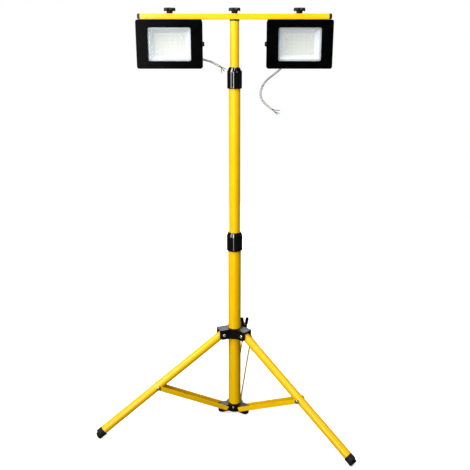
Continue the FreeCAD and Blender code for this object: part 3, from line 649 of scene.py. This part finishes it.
low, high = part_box("crossbar_end_plugs")
bar_low, bar_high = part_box("crossbar")
bar = (bar_low + bar_high) / 2
bar_half = (bar_high.z - bar_low.z) / 2
bm = bmesh.new()
for turn, start, tip in ((1, bar_high.x, high.x), (-1, bar_low.x, low.x)):
    domed_plug(bm, aim(Vector((start, bar.y, bar.z)), (turn, 0, 0)), bar_half, abs(tip - start))
piece("crossbar_end_caps", bm, "bar", [MATERIALS["black_plastic"]], ["crossbar_end_plugs"],
      sharp=50)


# ------------------------------------------------------------------ fasteners
def cross_recess(size, depth):
    """A wave that sinks a cross into a screw's head."""
    def wave(angle, radius, height):
        x, y = radius * math.cos(angle), radius * math.sin(angle)
        arm = min(abs(x), abs(y))
        reach = max(abs(x), abs(y))
        if arm < size * 0.22 and reach < size:
            return radius, height - depth * (1 - reach / size) ** 0.5
        return radius, height
    return wave


def pan_screw(bm, origin, direction, radius, height, slot=0):
    """Pan-head screw with a cross recess, standing out along its direction."""
    outline = [(radius * 0.9, -0.2 * height), (radius, 0), (radius, 0.35 * height),
               (radius * 0.9, 0.7 * height), (radius * 0.72, 0.9 * height)]
    outline += [(radius * 0.62 * k / 8, height * (1 - 0.07 * (k / 8) ** 2)) for k in range(8, -1, -1)]
    lathe(bm, outline, aim(origin, direction), segments=48, wave=cross_recess(radius * 0.6, height * 0.55),
          slot=slot)


def hollow_rivet(bm, origin, direction, radius, height, slot=0):
    """Domed rivet head with a dimple in its middle."""
    outline = [(radius * 0.86, -0.3 * height), (radius, 0.0), (radius, 0.3 * height),
               (radius * 0.9, 0.72 * height), (radius * 0.66, 0.96 * height), (radius * 0.46, height),
               (radius * 0.36, 0.86 * height), (radius * 0.3, 0.3 * height), (0, 0.2 * height)]
    lathe(bm, outline, aim(origin, direction), segments=40, slot=slot)


def leg_frame(azimuth, radius, height):
    """Outward direction, sideways direction and point of a leg's pivot."""
    angle = math.radians(azimuth)
    out = Vector((math.cos(angle), math.sin(angle), 0))
    across = UP.cross(out)
    return out, across, MAST + out * radius + UP * height


ZINC = MATERIALS["zinc_steel"]
YELLOW = MATERIALS["yellow_powder_coat"]
CHEEK = 16.0 * MM          # half width over a hub's fork
BAR_FACE = 15.5 * MM       # half width over a strut's pair of bars
PIN_RADIUS = 3.0 * MM
HUB_PIVOT = 39.5 * MM      # legs' pivots from the mast's axis
FOOT_PIVOT = 34.0 * MM     # struts' pivots from the mast's axis
SCREW_SEAT = (25.0 * MM, 26.2 * MM)     # radius and height of the bottom hub's screws
# Clearances of the rivets' heads, so that they don't share a face with the fork or the bar.
RIVET_STANDS_OFF = 0.0001
PLATE_STANDS_OFF = 0.00035
hub_pivot_z = middle("leg_pivot_pins").z
foot_pivot_z = middle("strut_pivot_pins").z

pins = bmesh.new()
feet = bmesh.new()
screws = bmesh.new()
for azimuth in LEG_AZIMUTHS.values():
    out, across, pivot = leg_frame(azimuth, HUB_PIVOT, hub_pivot_z)
    lathe(pins, [(PIN_RADIUS, -CHEEK), (PIN_RADIUS, CHEEK)], aim(pivot, across), segments=24)
    for turn in (1, -1):
        seat = pivot + across * turn * (CHEEK + RIVET_STANDS_OFF)
        hollow_rivet(pins, seat, across * turn, 0.0052, 0.0023)
    out, across, pivot = leg_frame(azimuth, FOOT_PIVOT, foot_pivot_z)
    lathe(feet, [(PIN_RADIUS, -BAR_FACE), (PIN_RADIUS, BAR_FACE)], aim(pivot, across), segments=24)
    for turn in (1, -1):
        seat = pivot + across * turn * (BAR_FACE + PLATE_STANDS_OFF)
        hollow_rivet(feet, seat, across * turn, 0.0040, 0.0011)
    out, across, seat = leg_frame(azimuth + 60, *SCREW_SEAT)
    pan_screw(screws, seat, out, 0.0034, 0.0022)
piece("leg_pivot_rivets", pins, "hub", [ZINC], ["leg_pivot_pins"])
piece("strut_pivot_rivets", feet, "base", [YELLOW], ["strut_pivot_pins"])
piece("bottom_hub_screw_heads", screws, "base", [ZINC])

# Joint bolts over the rivet heads at the legs: a black washer and a domed head.
LEG_SLOPE = math.radians(34.0)
JOINT_ALONG_LEG = 0.2535
for leg, azimuth in LEG_AZIMUTHS.items():
    out, across, pivot = leg_frame(azimuth, HUB_PIVOT, hub_pivot_z)
    joint = (pivot + out * (JOINT_ALONG_LEG * math.cos(LEG_SLOPE))
             - UP * (JOINT_ALONG_LEG * math.sin(LEG_SLOPE)))
    bm = bmesh.new()
    for turn in (1, -1):
        seat = joint + across * turn * BAR_FACE
        stand = aim(seat, across * turn)
        lathe(bm, mm(rounded([(3.0, 0.0), (6.6, 0.0), (6.6, 1.0), (4.0, 1.0)], 0.3)), stand, slot=1)
        head = rounded([(5.6, 0.9), (5.6, 2.2), (4.8, 3.1), (3.0, 3.7), (0, 3.9)], 0.4)
        lathe(bm, mm(head), stand, segments=40)
    piece("joint_bolts_" + leg, bm, leg + "_strut", [ZINC, MATERIALS["black_plastic"]])

# Tilt bolts: a washer under a hex head on each side of each lamp.
TILT_HEAD = 0.0052         # washer and head together
for side in SIDES:
    low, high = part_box("tilt_bolts_" + side)
    axis = LAMP_AXIS[side]
    bm = bmesh.new()
    for turn in (1, -1):
        tip = (high.x - axis.x) if turn > 0 else (axis.x - low.x)
        seat = axis + Vector((turn * (tip - TILT_HEAD), 0, 0))
        stand = aim(seat, (turn, 0, 0))
        lathe(bm, [(0.004, -0.0095), (0.004, 0)], stand, segments=24)
        lathe(bm, mm(rounded([(4.0, 0.0), (7.9, 0.0), (7.9, 1.1), (4.0, 1.1)], 0.25)), stand)
        lathe(bm, mm([(6.4, 1.1), (6.8, 1.3), (6.8, 4.4), (6.0, 5.1), (0, 5.2)]), stand, segments=6)
    piece("tilt_bolt_details_" + side, bm, side + "_lamp",
          [MATERIALS["black_powder_coat"]], ["tilt_bolts_" + side], sharp=25)

COVER_SCREW_INSET = 0.005
for side in SIDES:
    low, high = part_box("driver_cover_" + side)
    bm = bmesh.new()
    for x in (low.x + COVER_SCREW_INSET, high.x - COVER_SCREW_INSET):
        for z in (low.z + COVER_SCREW_INSET, high.z - COVER_SCREW_INSET):
            pan_screw(bm, Vector((x, high.y, z)), (0, 1, 0), 0.0030, 0.0018)
    piece("driver_cover_screws_" + side, bm, side + "_lamp", [ZINC])


# ------------------------------------------------------------------ light-emitting boards
LED_COLUMNS, LED_ROWS = 7, 6
LED_PITCH = (0.0130, 0.0099)
# Low and high corners about each package's seat on the board.
LED_BODY = ((-0.00175, -0.0007, -0.0014), (0.00175, 0.0001, 0.0014))
LED_LENS = ((-0.00135, -0.0008, -0.0011), (0.00135, -0.0004, 0.0011))
LED_TAB_OFFSET = 0.0021
BOARD_SCREWS = (0.0325, 0.0198)         # from the board's middle, sideways and up
for side in SIDES:
    low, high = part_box("led_board_" + side)
    front = Vector(((low.x + high.x) / 2, low.y, (low.z + high.z) / 2))
    bm = bmesh.new()
    for column in range(LED_COLUMNS):
        for row in range(LED_ROWS):
            at = front + Vector(((column - (LED_COLUMNS - 1) / 2) * LED_PITCH[0], 0,
                                 (row - (LED_ROWS - 1) / 2) * LED_PITCH[1]))
            shift = Matrix.Translation(at)
            block(bm, *LED_BODY, shift, 0, 0.00012)
            block(bm, *LED_LENS, shift, 1, 0.00018)
            for end in (-LED_TAB_OFFSET, LED_TAB_OFFSET):
                block(bm, (end - 0.0004, -0.00025, -0.0011), (end + 0.0004, 0.0001, 0.0011), shift, 2,
                      0.00010)
    for x in (-BOARD_SCREWS[0], BOARD_SCREWS[0]):
        for z in (-BOARD_SCREWS[1], BOARD_SCREWS[1]):
            pan_screw(bm, front + Vector((x, 0, z)), (0, -1, 0), 0.0024, 0.0016, slot=2)
    piece("led_packages_" + side, bm, side + "_lamp", [LED_WHITE, PHOSPHOR, ZINC])


# ------------------------------------------------------------------ studio
FLOOR_GLOW = 0.60          # near the object, so that it stands in a faint shadow


def for_camera(tree, plain, seen, target):
    """Gives the camera one shader and every other ray another."""
    mix = tree.nodes.new("ShaderNodeMixShader")
    rays = tree.nodes.new("ShaderNodeLightPath")
    tree.links.new(rays.outputs["Is Camera Ray"], mix.inputs["Fac"])
    tree.links.new(plain.outputs[0], mix.inputs[1])
    tree.links.new(seen.outputs[0], mix.inputs[2])
    tree.links.new(mix.outputs[0], target.inputs[0])


def white_floor(radius):
    """A floor that looks white to the camera and throws little light back up at the object."""
    bm = bmesh.new()
    bmesh.ops.create_circle(bm, cap_ends=True, segments=96, radius=radius,
                            matrix=Matrix.Translation(MAST - UP * 0.0005))
    mesh = bpy.data.meshes.new("floor")
    bm.to_mesh(mesh)
    bm.free()
    finish = Finish("floor", Specular_IOR_Level=0.0, Emission_Color=(1, 1, 1, 1))
    reach = finish.tree.nodes.new("ShaderNodeVectorMath")
    reach.operation = "LENGTH"
    finish.link(finish.place, "Object", reach, 0)
    glow = finish.remap((reach, "Value"), 0.5, 1.6, FLOOR_GLOW, 1.0)
    finish.link(*glow, finish.shader, "Emission Strength")
    finish.colours(finish.noise(0.7, 2), (0.3, (0.86, 0.86, 0.86)), (0.7, (0.85, 0.85, 0.85)))
    finish.rough(finish.noise(3, 2), 0.8, 0.95)
    grey = finish.tree.nodes.new("ShaderNodeBsdfDiffuse")
    grey.inputs["Color"].default_value = (0.05, 0.05, 0.05, 1)
    output = next(n for n in finish.tree.nodes if n.type == "OUTPUT_MATERIAL")
    for_camera(finish.tree, grey, finish.shader, output)
    mesh.materials.append(finish.material)
    floor = bpy.data.objects.new("floor", mesh)
    scene.collection.objects.link(floor)


white_floor(2.6)


def soft_box(name, location, target, width, height, power):
    """A rectangular lamp that faces a target; the camera doesn't see it."""
    light = bpy.data.lights.new(name, "AREA")
    light.shape = "RECTANGLE"
    light.size, light.size_y = width, height
    light.energy = power
    obj = bpy.data.objects.new(name, light)
    obj.visible_camera = False
    scene.collection.objects.link(obj)
    obj.location = location
    obj.rotation_euler = (Vector(target) - Vector(location)).to_track_quat("-Z", "Y").to_euler()


def around_mast(azimuth, distance, height):
    """A place given by its angle from straight in front of the mast, positive to the right."""
    angle = math.radians(azimuth)
    return MAST + Vector((math.sin(angle) * distance, -math.cos(angle) * distance, height))


soft_box("key", around_mast(-18, 2.4, 1.25), MAST + UP * 1.1, 0.50, 1.5, 30)
soft_box("low_key", around_mast(-17, 1.5, 0.21), MAST + UP * 0.4, 0.34, 0.38, 1.6)
soft_box("left_fill", around_mast(-54, 1.6, 1.50), MAST + UP * 1.4, 1.0, 1.5, 16)
soft_box("high_left", around_mast(-62, 1.6, 2.15), MAST + UP * 0.9, 1.0, 0.8, 25)
soft_box("high_right", around_mast(38, 1.0, 1.47), MAST + UP * 1.15, 0.40, 0.34, 2.8)
soft_box("behind", around_mast(172, 2.2, 1.9), MAST + UP * 0.9, 1.6, 1.4, 30)
soft_box("top", around_mast(16, 1.0, 3.1), MAST + UP * 0.5, 1.5, 1.2, 40)

world = bpy.data.worlds.new("studio")
scene.world = world
world.use_nodes = True
tree = world.node_tree
tree.nodes.clear()
seen = tree.nodes.new("ShaderNodeBackground")
seen.inputs["Color"].default_value = (1, 1, 1, 1)
fill = tree.nodes.new("ShaderNodeBackground")
fill.inputs["Color"].default_value = (0.93, 0.96, 1.0, 1)
fill.inputs["Strength"].default_value = 0.035
for_camera(tree, fill, seen, tree.nodes.new("ShaderNodeOutputWorld"))
scene.view_settings.view_transform = "Standard"
